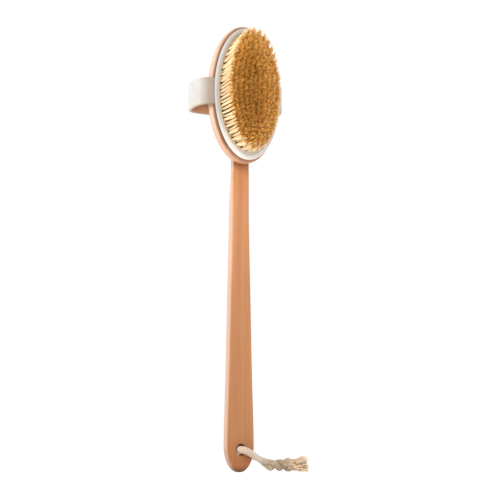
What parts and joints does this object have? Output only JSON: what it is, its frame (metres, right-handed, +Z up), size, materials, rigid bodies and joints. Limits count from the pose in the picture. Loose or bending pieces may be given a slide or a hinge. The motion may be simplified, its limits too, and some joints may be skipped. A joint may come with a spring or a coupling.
{
  "type": "body dry brush",
  "caption": "Oval bristle brush head with a fabric hand strap on a long flat wooden handle that pulls out, with a knotted hang rope.",
  "frame": {"origin": "middle of the brush's footprint at the level of the handle's lower end, hang rope left out", "axes": "+Z up along the handle to the head, bristles face -Y, the hand strap is on the +Y side, X across"},
  "size_m": [0.1261, 0.061, 0.427],
  "materials": {
    "beech_handle": "satin lacquer",
    "beech_block": "satin lacquer",
    "plate_cream": "matt",
    "plant_bristle": "stiff plant fibre",
    "cotton_webbing": "plain weave",
    "cotton_rope": "three-strand twist",
    "steel_wire": "drawn wire"
  },
  "bodies": {
    "handle_body": {"handle": "beech_handle", "rope_front_strand": "cotton_rope", "rope_bore_stretch": "cotton_rope", "rope_back_strand": "cotton_rope", "rope_twist": "cotton_rope", "rope_knot": "cotton_rope", "rope_tail_upper": "cotton_rope", "rope_tail_lower": "cotton_rope"},
    "head_body": {"back_block": "beech_block", "bristle_plate": "plate_cream", "strap_webbing": "cotton_webbing", "strap_staples_left": "steel_wire", "strap_staples_right": "steel_wire", "tufts_ring_1": "plant_bristle", "tufts_ring_2": "plant_bristle", "tufts_ring_3": "plant_bristle", "tufts_ring_4": "plant_bristle", "tufts_ring_5": "plant_bristle", "tufts_centre_row": "plant_bristle", "anchors_ring_1": "steel_wire", "anchors_ring_2": "steel_wire", "anchors_ring_3": "steel_wire", "anchors_ring_4": "steel_wire", "anchors_ring_5": "steel_wire", "anchors_centre_row": "steel_wire"}
  },
  "joints": [
    {"name": "head_lift", "type": "slide", "parent": "handle_body", "child": "head_body", "axis": [0, 0, 1], "range_m": [0, 0.065]}
  ]
}
